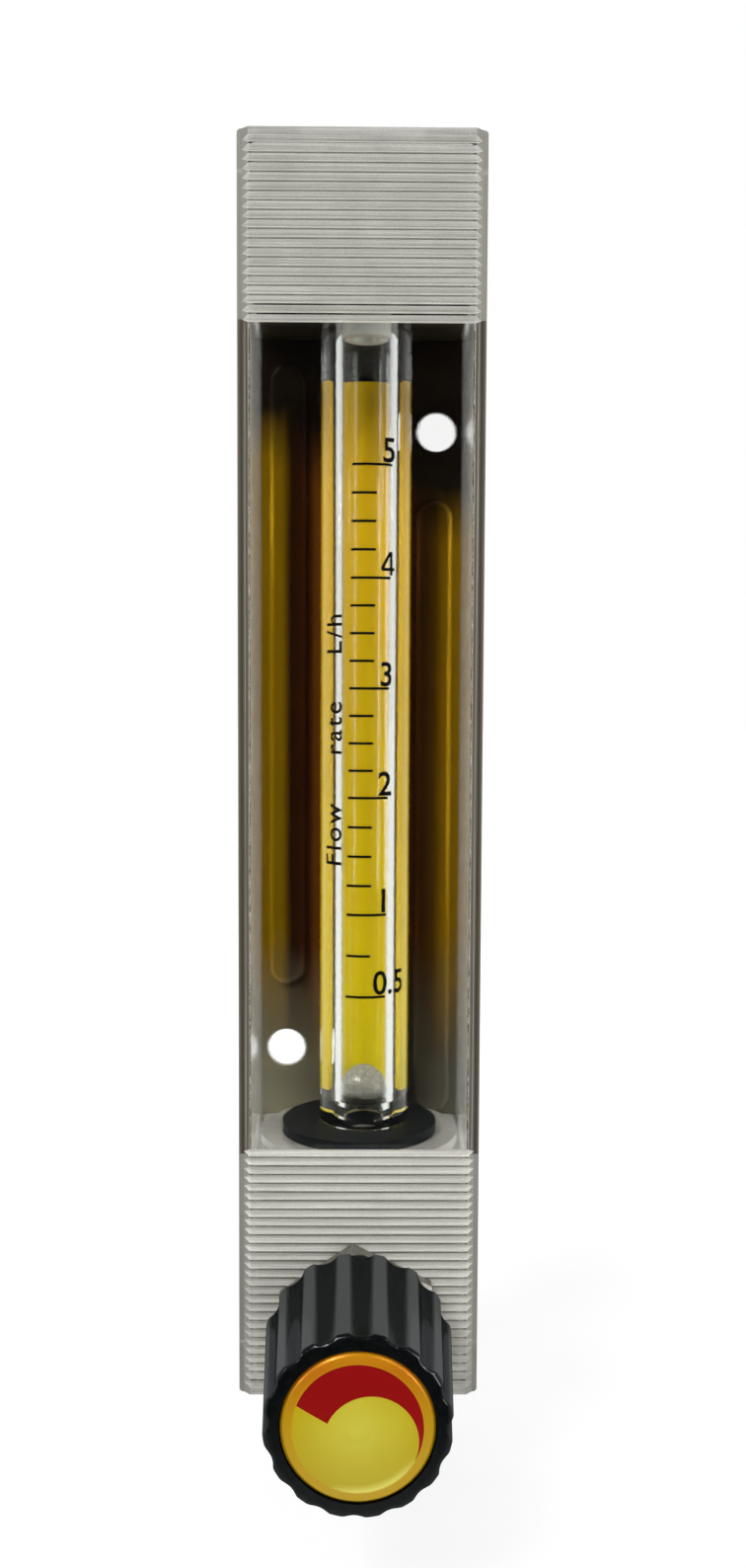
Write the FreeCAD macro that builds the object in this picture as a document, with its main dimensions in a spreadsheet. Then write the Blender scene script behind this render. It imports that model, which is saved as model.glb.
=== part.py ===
import FreeCAD, Part
import math
import os
import Sketcher

# Panel-mounted glass-tube flow meter with a needle valve.
#
# Frame: the origin is the centre of the two wall-screw holes, on the rear face of the back
# plate. +Z is up, the meter faces -Y and +X is to the right of someone reading the scale.
# Depths are called stations: a station is a distance in front of the wall.
# Parts on the valve axis and the knob are turned about their own Z, which points to the front.

V = FreeCAD.Vector
doc = FreeCAD.newDocument("rotameter")

# Driving dimensions in millimetres, and counts.
SIZES = {
    # clear cover
    "cover_width": 30.0,
    "cover_above": 74.0,
    "cover_below": 81.0,
    "cover_depth": 23.0,
    "front_wall": 1.5,
    "side_wall": 1.5,
    "corner_radius": 0.5,
    "cavity_radius": 0.5,
    "edge_margin": 0.6,
    "edge_chamfer": 0.8,
    "rib_pitch": 1.1,
    "rib_land": 0.2,
    "rib_depth": 0.78,
    "rib_end_land": 0.8,
    "upper_rib_count": 20,
    "lower_rib_count": 28,
    "ridge_height": 0.5,
    "ridge_length": 16.0,
    "ridge_station": 3.0,
    # back plate
    "plate_thickness": 1.0,
    "plate_inset": 0.3,
    "hole_side": 10.1,
    "hole_rise": 42.15,
    "hole_radius": 2.6,
    "bead_side": 9.9,
    "bead_width": 5.0,
    "bead_height": 1.0,
    "bead_round": 0.8,
    "bead_to_hole": 8.95,
    "bead_to_block": 3.1,
    # blocks
    "fit_gap": 0.3,
    "end_gap": 0.2,
    "upper_block_height": 18.0,
    "lower_block_height": 27.8,
    "block_chamfer": 0.6,
    "seat_radius": 12.9,
    "seat_height": 1.2,
    "port_radius": 4.4,
    "port_clearance": 1.1,
    "outlet_drop": 10.0,
    "passage_radius": 1.5,
    "passage_length": 0.8,
    "chamber_radius": 3.5,
    "chamber_rear": 2.05,
    "chamber_front": 2.85,
    "riser_radius": 1.7,
    "riser_stop": 1.0,
    # tube and float
    "tube_offset": 0.6,
    "tube_radius": 5.75,
    "tube_drop": 16.1,
    "tube_gap": 0.25,
    "bore_low": 3.08,
    "bore_high": 3.22,
    "throat_radius": 2.6,
    "throat_length": 3.0,
    "tube_bevel": 0.3,
    "ball_radius": 3.0,
    "ball_gap": 0.06,
    "gasket_radius": 10.1,
    "gasket_thickness": 1.3,
    "stop_reach": 6.2,
    "stop_clearance": 0.12,
    "stop_flange": 1.5,
    "stop_hole": 1.9,
    "stop_slot": 1.4,
    # cleaning plug above the tube
    "plug_length": 3.2,
    "plug_key": 5.0,
    "plug_key_depth": 1.8,
    "plug_ring_rise": 0.5,
    "ring_section": 0.9,
    "ring_clearance": 0.1,
    # needle valve
    "valve_rise": 8.6,
    "thread_clearance": 0.05,
    "bonnet_radius": 5.0,
    "bonnet_collar": 5.8,
    "bonnet_proud": 1.2,
    "bonnet_ring_rise": 0.8,
    "bonnet_slot": 1.2,
    "bonnet_slot_depth": 1.0,
    "stem_thread_radius": 2.5,
    "stem_thread_length": 4.0,
    "land_radius": 2.9,
    "stem_ring_start": 1.3,
    "stem_ring_pitch": 2.0,
    "thread_relief": 0.4,
    "land_relief": 0.3,
    "land_end": 1.6,
    "shaft_radius": 2.0,
    "shaft_proud": 1.3,
    "seat_bore": 1.1,
    "seat_mouth": 0.5,
    "valve_seat_radius": 2.75,
    "valve_seat_length": 2.4,
    "needle_shank": 1.5,
    "needle_tip": 0.35,
    "needle_slope": 0.4,
    "nut_flats": 19.0,
    "nut_thickness": 2.0,
    "nut_turn": 4.0,
    # knob
    "knob_gap": 2.4,
    "knob_length": 19.8,
    "knob_rear_radius": 11.5,
    "knob_front_radius": 10.5,
    "knob_round": 1.0,
    "knob_lean": 2.0,
    "flute_count": 16,
    "flute_rear_depth": 0.65,
    "flute_front_depth": 0.45,
    "flute_radius": 2.6,
    "flute_round": 0.6,
    "skirt_wall": 3.0,
    "skirt_depth": 1.5,
    "cap_radius": 8.55,
    "cap_clearance": 0.1,
    "cap_sink": 1.6,
    "cap_rise": 0.5,
    "cap_round": 0.4,
    "cap_ring_radius": 5.5,
    "cap_ring_wall": 0.8,
    "cap_ring_length": 3.6,
    "collet_radius": 3.5,
    "collet_taper": 0.7,
    "collet_clearance": 0.1,
    "collet_floor_share": 0.4,
    "collet_thread_step": 0.4,
    "collet_undercut": 0.3,
    "collet_proud": 0.5,
    "collet_slits": 3,
    "collet_slit": 0.6,
    "collet_web": 1.0,
    "collet_nut_flats": 9.0,
    "collet_nut_thickness": 3.0,
    # block screws
    "screw_side": 9.5,
    "screw_radius": 1.5,
    "screw_head_radius": 2.5,
    "screw_clearance": 0.1,
    "screw_length": 7.0,
    "screw_key": 2.0,
    "screw_key_depth": 0.9,
}


class Size:
    """A length that keeps its number and its spreadsheet expression together."""

    def __init__(self, value, text):
        self.value = float(value)
        self.text = text

    def __add__(self, other):
        other = as_size(other)
        return Size(self.value + other.value, f"({self.text} + {other.text})")

    def __sub__(self, other):
        other = as_size(other)
        return Size(self.value - other.value, f"({self.text} - {other.text})")

    def __mul__(self, other):
        other = as_size(other)
        return Size(self.value * other.value, f"({self.text} * {other.text})")

    def __truediv__(self, other):
        other = as_size(other)
        return Size(self.value / other.value, f"({self.text} / {other.text})")

    def __neg__(self):
        return Size(-self.value, f"(-1 * {self.text})")


def as_size(number):
    return number if isinstance(number, Size) else Size(number, repr(float(number)))


def root(size):
    return Size(math.sqrt(size.value), f"sqrt({size.text})")


def make_sheet():
    """The sheet with the driving dimensions: one row each, name beside number."""
    sheet = doc.addObject("Spreadsheet::Sheet", "sizes")
    for row, (name, number) in enumerate(SIZES.items(), start=1):
        sheet.set(f"A{row}", name)
        sheet.set(f"B{row}", repr(number))
        sheet.setAlias(f"B{row}", name)
    doc.recompute()


class Sheet:
    """Gives each driving dimension as a Size."""

    def __getattr__(self, name):
        return Size(SIZES[name], f"sizes.{name}")


s = Sheet()

# Heights and stations that several parts share.
COVER_TOP = s.cover_above
COVER_BOTTOM = -s.cover_below
UPPER_RIBS = s.rib_end_land + s.rib_pitch * s.upper_rib_count
WINDOW_TOP = COVER_TOP - UPPER_RIBS
INNER_WIDTH = s.cover_width - s.side_wall * 2
BLOCK_WIDTH = INNER_WIDTH - s.fit_gap * 2
COVER_INSIDE = s.cover_depth - s.front_wall
BLOCK_FRONT = COVER_INSIDE - s.end_gap
TUBE_STATION = (COVER_INSIDE + s.plate_thickness) / 2
UPPER_BLOCK_TOP = COVER_TOP - s.side_wall - s.end_gap
UPPER_BLOCK_FLOOR = UPPER_BLOCK_TOP - s.upper_block_height
LOWER_BLOCK_BOTTOM = COVER_BOTTOM + s.side_wall + s.end_gap
SHOULDER = LOWER_BLOCK_BOTTOM + s.lower_block_height
GASKET_SEAT = SHOULDER + s.seat_height
TUBE_BOTTOM = GASKET_SEAT + s.gasket_thickness
TUBE_TOP = COVER_TOP - s.tube_drop
FLOAT_SEAT = TUBE_BOTTOM + s.throat_length
BALL_REST = FLOAT_SEAT + root(s.ball_radius * s.ball_radius - s.throat_radius * s.throat_radius) + s.ball_gap
TUBE_SOCKET = s.tube_radius + s.tube_gap
SOCKET_TOP = TUBE_TOP + s.stop_flange
OUTLET = COVER_TOP - s.outlet_drop
VALVE = COVER_BOTTOM + s.valve_rise
CHAMBER_BACK = TUBE_STATION - s.chamber_rear
SEAT_STATION = CHAMBER_BACK - s.valve_seat_length
PORT_FLOOR = SEAT_STATION - s.passage_length
BONNET_NOSE = TUBE_STATION + s.chamber_front
NUT_FACE = s.cover_depth + s.nut_thickness
BONNET_FRONT = NUT_FACE + s.bonnet_proud
STEM_BORE = s.stem_thread_radius + s.thread_clearance
RING_BORE = s.land_radius + s.ring_clearance
RING_SHOULDER = BONNET_NOSE + s.stem_thread_length
KNOB_BACK = NUT_FACE + s.knob_gap
NUT_FLOOR = s.knob_length * s.collet_floor_share
COLLET_BACK = s.skirt_depth + s.collet_clearance
COLLET_THREAD = s.collet_radius - s.collet_thread_step
SCREW_HOLE = s.screw_radius + s.screw_clearance

# How far the outline of a cut runs past the material.
OVERRUN = 1.0


def bind(obj, path, size):
    obj.setExpression(path, as_size(size).text)


def origin_feature(body, role):
    return next(feature for feature in body.Origin.OriginFeatures if feature.Role == role)


def new_body(label, x=0, station=0, z=0, turned=False):
    """A body at a place of its own. A turned body has its Z axis pointing to the front."""
    body = doc.addObject("PartDesign::Body", label)
    body.Label = label
    x, y, z = as_size(x), -as_size(station), as_size(z)
    turn = FreeCAD.Rotation(V(1, 0, 0), 90 if turned else 0)
    body.Placement = FreeCAD.Placement(V(x.value, y.value, z.value), turn)
    bind(body, "Placement.Base.x", x)
    bind(body, "Placement.Base.y", y)
    bind(body, "Placement.Base.z", z)
    return body


def new_sketch(body, plane, offset=None):
    """A sketch on one of the body's own planes, moved along that plane's normal by offset."""
    sketch = body.newObject("Sketcher::SketchObject", f"{body.Label}_sketch")
    sketch.AttachmentSupport = [(origin_feature(body, plane), "")]
    sketch.MapMode = "FlatFace"
    if offset is not None:
        bind(sketch, "AttachmentOffset.Base.z", offset)
    return sketch


def fix_point(sketch, geometry, end, u, v):
    """Ties a point to the sketch's origin, by a named size or on its axis."""
    for kind, axis, place in (("DistanceX", -2, u), ("DistanceY", -1, v)):
        place = as_size(place)
        if place.value == 0:
            sketch.addConstraint(Sketcher.Constraint("PointOnObject", geometry, end, axis))
        else:
            index = sketch.addConstraint(Sketcher.Constraint(kind, -1, 1, geometry, end, place.value))
            bind(sketch, f"Constraints[{index}]", place)


def add_circle(sketch, radius, u=0, v=0):
    centre = V(as_size(u).value, as_size(v).value, 0)
    circle = sketch.addGeometry(Part.Circle(centre, V(0, 0, 1), radius.value))
    index = sketch.addConstraint(Sketcher.Constraint("Radius", circle, radius.value))
    bind(sketch, f"Constraints[{index}]", radius)
    fix_point(sketch, circle, 3, u, v)


def add_outline(sketch, corners):
    """A closed outline of straight lines through the given corners."""
    places = [V(as_size(u).value, as_size(v).value, 0) for u, v in corners]
    count = len(places)
    first = sketch.GeometryCount
    for i in range(count):
        sketch.addGeometry(Part.LineSegment(places[i], places[(i + 1) % count]))
    for i in range(count):
        following = first + (i + 1) % count
        sketch.addConstraint(Sketcher.Constraint("Coincident", first + i, 2, following, 1))
    for i, (u, v) in enumerate(corners):
        fix_point(sketch, first + i, 1, u, v)


def add_rectangle(sketch, left, right, low, high):
    add_outline(sketch, [(left, low), (right, low), (right, high), (left, high)])


def add_stadium(sketch, radius, u, low, high):
    """A straight slot with round ends, whose end centres are at low and high."""
    u, low, high = as_size(u), as_size(low), as_size(high)
    left, right = u - radius, u + radius
    corners = [(left, low), (left, high), (right, high), (right, low)]
    a, b, c, d = [V(x.value, y.value, 0) for x, y in corners]
    up = Part.Circle(V(u.value, high.value, 0), V(0, 0, 1), radius.value)
    down = Part.Circle(V(u.value, low.value, 0), V(0, 0, 1), radius.value)
    first = sketch.GeometryCount
    sketch.addGeometry(Part.LineSegment(a, b))
    sketch.addGeometry(Part.ArcOfCircle(up, 0, math.pi))
    sketch.addGeometry(Part.LineSegment(c, d))
    sketch.addGeometry(Part.ArcOfCircle(down, math.pi, 2 * math.pi))
    joins = [(0, 2, 1, 2), (1, 1, 2, 1), (2, 2, 3, 2), (3, 1, 0, 1)]
    for one, one_end, other, other_end in joins:
        join = Sketcher.Constraint("Coincident", first + one, one_end, first + other, other_end)
        sketch.addConstraint(join)
    ends = [(0, 1), (0, 2), (2, 1), (2, 2)]
    for (line, end), (x, y) in zip(ends, corners):
        fix_point(sketch, first + line, end, x, y)
    for arc, height in ((1, high), (3, low)):
        index = sketch.addConstraint(Sketcher.Constraint("DistanceY", -1, 1, first + arc, 3, height.value))
        bind(sketch, f"Constraints[{index}]", height)


def hexagon(flats, turn=0):
    """The corners of a hexagon with the given distance across flats."""
    reach = flats / math.sqrt(3)
    angles = [math.radians(90 + turn + 60 * k) for k in range(6)]
    return [(reach * math.cos(angle), reach * math.sin(angle)) for angle in angles]


def pad(body, sketch, length, both_ways=False):
    feature = body.newObject("PartDesign::Pad", f"{body.Label}_pad")
    feature.Profile = sketch
    feature.Midplane = both_ways
    bind(feature, "Length", length)
    doc.recompute()
    return feature


def pocket(body, sketch, length, along_normal=False, both_ways=False):
    """Cuts the sketch's outline away, against the sketch's normal or along it."""
    before = body.Shape.Volume
    feature = body.newObject("PartDesign::Pocket", f"{body.Label}_pocket")
    feature.Profile = sketch
    feature.Reversed = along_normal
    feature.Midplane = both_ways
    bind(feature, "Length", length)
    doc.recompute()
    if body.Shape.Volume > before - 1e-4:
        raise RuntimeError(f"{feature.Label} cuts nothing")
    return feature


def turn(body, corners):
    """Turns an outline of (radius, height) corners about the body's Z axis."""
    sketch = new_sketch(body, "XZ_Plane")
    add_outline(sketch, corners)
    feature = body.newObject("PartDesign::Revolution", f"{body.Label}_turning")
    feature.Profile = sketch
    feature.ReferenceAxis = (origin_feature(body, "Z_Axis"), [""])
    feature.Angle = 360
    doc.recompute()
    return feature


def round_edges(body, feature, radius, chosen, kind="Fillet"):
    """Rounds or chamfers those edges of a feature that chosen accepts."""
    names = [f"Edge{i + 1}" for i, edge in enumerate(feature.Shape.Edges) if chosen(edge)]
    if not names:
        raise RuntimeError(f"{body.Label} has no edge to dress")
    dressed = body.newObject(f"PartDesign::{kind}", f"{body.Label}_{kind.lower()}")
    dressed.Base = (feature, names)
    bind(dressed, "Radius" if kind == "Fillet" else "Size", radius)
    doc.recompute()
    return dressed


def repeat_up(body, feature, count, pitch):
    """Repeats a feature along +Z."""
    pattern = body.newObject("PartDesign::LinearPattern", f"{body.Label}_rows")
    pattern.Originals = [feature]
    pattern.Direction = (origin_feature(body, "Z_Axis"), [""])
    bind(pattern, "Length", pitch * (count - 1))
    bind(pattern, "Occurrences", count)
    body.Tip = pattern
    doc.recompute()
    return pattern


def repeat_round(body, feature, count):
    """Repeats a feature round the body's Z axis."""
    pattern = body.newObject("PartDesign::PolarPattern", f"{body.Label}_ring")
    pattern.Originals = [feature]
    pattern.Axis = (origin_feature(body, "Z_Axis"), [""])
    pattern.Angle = 360
    bind(pattern, "Occurrences", count)
    body.Tip = pattern
    doc.recompute()
    return pattern


def near(a, b):
    return abs(a - b) < 1e-4


def is_ring(edge, radius, axis=2, height=None):
    """True for a circular edge of this radius, and at this height on the axis when one is given."""
    if edge.Degenerated or edge.Curve.TypeId != "Part::GeomCircle":
        return False
    return near(edge.Curve.Radius, radius) and (height is None or near(edge.Curve.Center[axis], height))


def runs_along(edge, axis):
    """True for a straight edge parallel to the given axis, 0 for X, 1 for Y, 2 for Z."""
    if edge.Degenerated or edge.Curve.TypeId != "Part::GeomLine":
        return False
    span = edge.Vertexes[1].Point - edge.Vertexes[0].Point
    return all(abs(span[i]) < 1e-6 for i in range(3) if i != axis)


def spans(edge, height):
    """True for an edge that runs past this height on the body's Z axis."""
    ends = [vertex.Z for vertex in edge.Vertexes]
    return len(ends) == 2 and min(ends) < height < max(ends)


def beyond(edge, radius):
    """True for an edge that lies outside a cylinder of this radius round the body's Z axis."""
    return all(math.hypot(vertex.X, vertex.Y) > radius for vertex in edge.Vertexes)


def front_cover():
    """The clear moulded cover: five walls, V-ribbed ends and a plain window between them."""
    body = new_body("front_cover")
    half = s.cover_width / 2
    shelf = half - s.edge_margin
    flat = shelf - s.edge_chamfer
    margin_station = s.cover_depth - s.edge_chamfer
    section = new_sketch(body, "XY_Plane", COVER_BOTTOM)
    add_outline(section, [
        (-half, -s.plate_thickness), (half, -s.plate_thickness), (half, -margin_station),
        (shelf, -margin_station), (flat, -s.cover_depth), (-flat, -s.cover_depth),
        (-shelf, -margin_station), (-half, -margin_station),
    ])
    block = pad(body, section, COVER_TOP - COVER_BOTTOM)
    round_edges(body, block, s.corner_radius, lambda edge: runs_along(edge, 1)
                and near(abs(edge.Vertexes[0].X), half.value))

    cavity = new_sketch(body, "XZ_Plane", s.plate_thickness)
    add_rectangle(
        cavity, -INNER_WIDTH / 2, INNER_WIDTH / 2, COVER_BOTTOM + s.side_wall, COVER_TOP - s.side_wall)
    hollow = pocket(body, cavity, COVER_INSIDE - s.plate_thickness, along_normal=True)
    inner = INNER_WIDTH.value / 2
    round_edges(body, hollow, s.cavity_radius, lambda edge: runs_along(edge, 1)
                and near(abs(edge.Vertexes[0].X), inner))

    opening = new_sketch(body, "XZ_Plane", s.cover_depth)
    add_circle(opening, s.bonnet_collar + s.end_gap, 0, VALVE)
    pocket(body, opening, s.front_wall * 2)

    lowest_lower = COVER_BOTTOM + s.rib_end_land + s.rib_pitch / 2
    lowest_upper = WINDOW_TOP + s.rib_pitch / 2
    for lowest, count in ((lowest_lower, s.lower_rib_count), (lowest_upper, s.upper_rib_count)):
        groove = cover_groove(body, lowest)
        repeat_up(body, groove, count, s.rib_pitch)
    snap_ridge(body)
    return body


def cover_groove(body, height):
    """One V groove across the whole front, ending in the chamfers beside the lands."""
    half = (s.rib_pitch - s.rib_land) / 2
    over = s.cover_depth + OVERRUN
    profile = new_sketch(body, "YZ_Plane")
    add_outline(profile, [
        (-over, height - half), (-s.cover_depth, height - half), (-s.cover_depth + s.rib_depth, height),
        (-s.cover_depth, height + half), (-over, height + half),
    ])
    return pocket(body, profile, s.cover_width + OVERRUN * 2, both_ways=True)


def snap_ridge(body):
    """A low ridge under the top wall, which snaps into the upper block."""
    under = COVER_TOP - s.side_wall
    profile = new_sketch(body, "YZ_Plane")
    add_outline(profile, [
        (-s.ridge_station - s.ridge_height * 2, under + s.side_wall / 2),
        (-s.ridge_station - s.ridge_height * 2, under),
        (-s.ridge_station, under - s.ridge_height),
        (-s.ridge_station + s.ridge_height * 2, under),
        (-s.ridge_station + s.ridge_height * 2, under + s.side_wall / 2),
    ])
    return pad(body, profile, s.ridge_length, both_ways=True)


def back_plate():
    """The pressed plate that carries both blocks, with two stiffening beads."""
    body = new_body("back_plate")
    side = s.cover_width / 2 - s.plate_inset
    top, bottom = COVER_TOP - s.plate_inset, COVER_BOTTOM + s.plate_inset
    outline = new_sketch(body, "XZ_Plane")
    add_rectangle(outline, -side, side, bottom, top)
    sheet = pad(body, outline, s.plate_thickness)
    round_edges(body, sheet, s.corner_radius, lambda edge: runs_along(edge, 1))

    crest = s.plate_thickness + s.bead_height
    beads = new_sketch(body, "XZ_Plane", s.plate_thickness)
    hollows = new_sketch(body, "XZ_Plane")
    for sketch, radius in ((beads, s.bead_width / 2), (hollows, s.bead_width / 2 - s.bead_round)):
        end = s.bead_width / 2
        near_end = s.hole_rise - s.bead_to_hole - end
        add_stadium(sketch, radius, -s.bead_side, -near_end, UPPER_BLOCK_FLOOR - s.bead_to_block - end)
        add_stadium(sketch, radius, s.bead_side, SHOULDER + s.fit_gap + end, near_end)
    raised = pad(body, beads, s.bead_height)
    round_edges(body, raised, s.bead_round, lambda edge: all(near(v.Y, -crest.value) for v in edge.Vertexes))
    pocket(body, hollows, s.bead_height, along_normal=True)

    holes = new_sketch(body, "XZ_Plane")
    add_circle(holes, s.hole_radius, s.hole_side, s.hole_rise)
    add_circle(holes, s.hole_radius, -s.hole_side, -s.hole_rise)
    add_circle(holes, s.port_radius + s.port_clearance, 0, OUTLET)
    add_circle(holes, s.port_radius + s.port_clearance, 0, VALVE)
    for x, z in screw_places():
        add_circle(holes, SCREW_HOLE, x, z)
    drilled = pocket(body, holes, s.plate_thickness, along_normal=True)
    sink = s.screw_head_radius - SCREW_HOLE
    round_edges(body, drilled, sink, lambda edge: is_ring(edge, SCREW_HOLE.value, 1, 0.0), kind="Chamfer")
    return body


def screw_places():
    """The four screws that hold the blocks on the plate: two in each block."""
    heights = [(UPPER_BLOCK_TOP + UPPER_BLOCK_FLOOR) / 2, SHOULDER - s.screw_side]
    return [(side, height) for height in heights for side in (-s.screw_side, s.screw_side)]


def block_body(label, bottom, top):
    """A block between the plate and the cover's front wall, with its screw holes."""
    body = new_body(label)
    section = new_sketch(body, "XY_Plane", bottom)
    add_rectangle(section, -BLOCK_WIDTH / 2, BLOCK_WIDTH / 2, -BLOCK_FRONT, -s.plate_thickness)
    block = pad(body, section, top - bottom)
    round_edges(body, block, s.block_chamfer, lambda edge: runs_along(edge, 2), kind="Chamfer")
    holes = new_sketch(body, "XZ_Plane", s.plate_thickness)
    for x, z in screw_places():
        if bottom.value < z.value < top.value:
            add_circle(holes, s.screw_radius, x, z)
    pocket(body, holes, s.screw_length, along_normal=True)
    return body


def upper_block():
    """The head: the tube's socket, the outlet port behind it and the plug's thread above it."""
    body = block_body("upper_block", UPPER_BLOCK_FLOOR, UPPER_BLOCK_TOP)
    socket = new_sketch(body, "XY_Plane", UPPER_BLOCK_FLOOR)
    add_circle(socket, TUBE_SOCKET, s.tube_offset, -TUBE_STATION)
    pocket(body, socket, SOCKET_TOP - UPPER_BLOCK_FLOOR, along_normal=True)
    bore = new_sketch(body, "XY_Plane", SOCKET_TOP)
    add_circle(bore, s.port_radius, s.tube_offset, -TUBE_STATION)
    pocket(body, bore, s.upper_block_height, along_normal=True)
    port = new_sketch(body, "XZ_Plane", s.plate_thickness)
    add_circle(port, s.port_radius, 0, OUTLET)
    pocket(body, port, TUBE_STATION - s.plate_thickness, along_normal=True)
    reach = s.ridge_height + s.end_gap
    catch = new_sketch(body, "YZ_Plane")
    add_outline(catch, [
        (-s.ridge_station - reach * 2, UPPER_BLOCK_TOP + reach),
        (-s.ridge_station, UPPER_BLOCK_TOP - reach),
        (-s.ridge_station + reach * 2, UPPER_BLOCK_TOP + reach),
    ])
    pocket(body, catch, s.ridge_length + s.fit_gap * 2, both_ways=True)
    return body


def lower_block():
    """The foot: gasket seat, riser, valve chamber and the inlet port in line with the needle."""
    body = block_body("lower_block", LOWER_BLOCK_BOTTOM, GASKET_SEAT)
    around = new_sketch(body, "XY_Plane", GASKET_SEAT)
    reach = s.cover_width
    add_rectangle(around, -reach, reach, -TUBE_STATION - reach, -TUBE_STATION + reach)
    add_circle(around, s.seat_radius, 0, -TUBE_STATION)
    pocket(body, around, s.seat_height)
    behind = new_sketch(body, "XY_Plane", GASKET_SEAT)
    add_rectangle(behind, -reach, reach, -s.plate_thickness - s.bead_height - s.fit_gap, 0)
    pocket(body, behind, s.seat_height)
    riser = new_sketch(body, "XY_Plane", GASKET_SEAT)
    add_circle(riser, s.riser_radius, s.tube_offset, -TUBE_STATION)
    pocket(body, riser, GASKET_SEAT - VALVE - s.riser_stop)
    steps = [
        (s.plate_thickness, s.port_radius, PORT_FLOOR - s.plate_thickness),
        (PORT_FLOOR, s.passage_radius, s.passage_length),
        (SEAT_STATION, s.valve_seat_radius, s.valve_seat_length),
        (CHAMBER_BACK, s.chamber_radius, BONNET_NOSE - CHAMBER_BACK),
        (BONNET_NOSE, s.bonnet_radius + s.thread_clearance, BLOCK_FRONT - BONNET_NOSE),
    ]
    for station, radius, depth in steps:
        step = new_sketch(body, "XZ_Plane", station)
        add_circle(step, radius, 0, VALVE)
        pocket(body, step, depth, along_normal=True)
    return body


def glass_tube():
    """The measuring tube: a bore that widens upwards over a narrow throat, on which the ball rests."""
    body = new_body("glass_tube", s.tube_offset, TUBE_STATION)
    turned = turn(body, [
        (s.throat_radius, TUBE_BOTTOM), (s.tube_radius, TUBE_BOTTOM), (s.tube_radius, TUBE_TOP),
        (s.bore_high, TUBE_TOP), (s.bore_low, FLOAT_SEAT), (s.throat_radius, FLOAT_SEAT),
    ])
    round_edges(body, turned, s.tube_bevel, lambda edge: is_ring(edge, s.tube_radius.value), kind="Chamfer")
    return body


def float_ball():
    ball = doc.addObject("Part::Sphere", "float_ball")
    ball.Label = "float_ball"
    bind(ball, "Radius", s.ball_radius)
    bind(ball, "Placement.Base.x", s.tube_offset)
    bind(ball, "Placement.Base.y", -TUBE_STATION)
    bind(ball, "Placement.Base.z", BALL_REST)
    return ball


def upper_stop():
    """The white stop that closes the tube to the ball, and seals it with its own flange."""
    body = new_body("upper_stop", s.tube_offset, TUBE_STATION)
    plug = s.bore_high - s.stop_clearance
    flange = TUBE_SOCKET - s.thread_clearance
    turn(body, [
        (s.stop_hole, TUBE_TOP - s.stop_reach), (plug, TUBE_TOP - s.stop_reach), (plug, TUBE_TOP),
        (flange, TUBE_TOP), (flange, SOCKET_TOP), (s.stop_hole, SOCKET_TOP),
    ])
    slot = new_sketch(body, "XY_Plane", TUBE_TOP - s.stop_reach)
    add_rectangle(slot, -s.tube_radius, s.tube_radius, -s.stop_slot / 2, s.stop_slot / 2)
    pocket(body, slot, s.stop_slot, along_normal=True)
    return body


def lower_gasket():
    body = new_body("lower_gasket", 0, TUBE_STATION)
    ring = new_sketch(body, "XY_Plane", GASKET_SEAT)
    add_circle(ring, s.gasket_radius)
    add_circle(ring, s.throat_radius, s.tube_offset, 0)
    pad(body, ring, s.gasket_thickness)
    return body


def hexagon_sizes(flats, turn_angle=0):
    """Hexagon corners as sizes, so that they follow the distance across flats."""
    return [(flats * u, flats * v) for u, v in hexagon(1.0, turn_angle)]


def grooved(outer, groove_low):
    """The corners of a ring groove in a turned shank, from below upwards."""
    floor = outer - s.ring_section
    groove_high = groove_low + s.ring_section + s.ring_clearance * 2
    return [(outer, groove_low), (floor, groove_low), (floor, groove_high), (outer, groove_high)]


def turn_ring(body, outer, section, low):
    """A square-cut sealing ring, a little clear of the groove's walls and of the bore."""
    inner = outer - section + s.ring_clearance / 2
    rim = outer - s.ring_clearance / 2
    turn(body, [(inner, low), (rim, low), (rim, low + section), (inner, low + section)])


def top_plug():
    """The screw plug above the tube, through which the tube is cleaned."""
    body = new_body("top_plug", s.tube_offset, TUBE_STATION)
    top = UPPER_BLOCK_TOP - s.end_gap
    bottom = top - s.plug_length
    thread = s.port_radius - s.thread_clearance
    turn(body, [
        (0, bottom), (thread, bottom), *grooved(thread, bottom + s.plug_ring_rise), (thread, top), (0, top),
    ])
    key = new_sketch(body, "XY_Plane", top)
    add_outline(key, hexagon_sizes(s.plug_key))
    pocket(body, key, s.plug_key_depth)
    return body


def top_plug_seal():
    body = new_body("top_plug_seal", s.tube_offset, TUBE_STATION)
    low = UPPER_BLOCK_TOP - s.end_gap - s.plug_length + s.plug_ring_rise + s.ring_clearance
    turn_ring(body, s.port_radius - s.thread_clearance, s.ring_section, low)
    return body


def valve_body(label):
    """A body on the valve axis, whose heights are stations."""
    return new_body(label, 0, 0, VALVE, turned=True)


def valve_bonnet():
    """The threaded bonnet: it carries the stem thread and the ring bore."""
    body = valve_body("valve_bonnet")
    turn(body, [
        (STEM_BORE, BONNET_NOSE), (s.bonnet_radius, BONNET_NOSE),
        *grooved(s.bonnet_radius, BONNET_NOSE + s.bonnet_ring_rise),
        (s.bonnet_radius, BLOCK_FRONT), (s.bonnet_collar, BLOCK_FRONT), (s.bonnet_collar, BONNET_FRONT),
        (RING_BORE, BONNET_FRONT), (RING_BORE, RING_SHOULDER), (STEM_BORE, RING_SHOULDER),
    ])
    slot = new_sketch(body, "XY_Plane", BONNET_FRONT)
    add_rectangle(slot, -s.bonnet_collar * 2, s.bonnet_collar * 2, -s.bonnet_slot / 2, s.bonnet_slot / 2)
    pocket(body, slot, s.bonnet_slot_depth)
    return body


def bonnet_seal():
    body = valve_body("bonnet_seal")
    turn_ring(body, s.bonnet_radius, s.ring_section, BONNET_NOSE + s.bonnet_ring_rise + s.ring_clearance)
    return body


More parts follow.
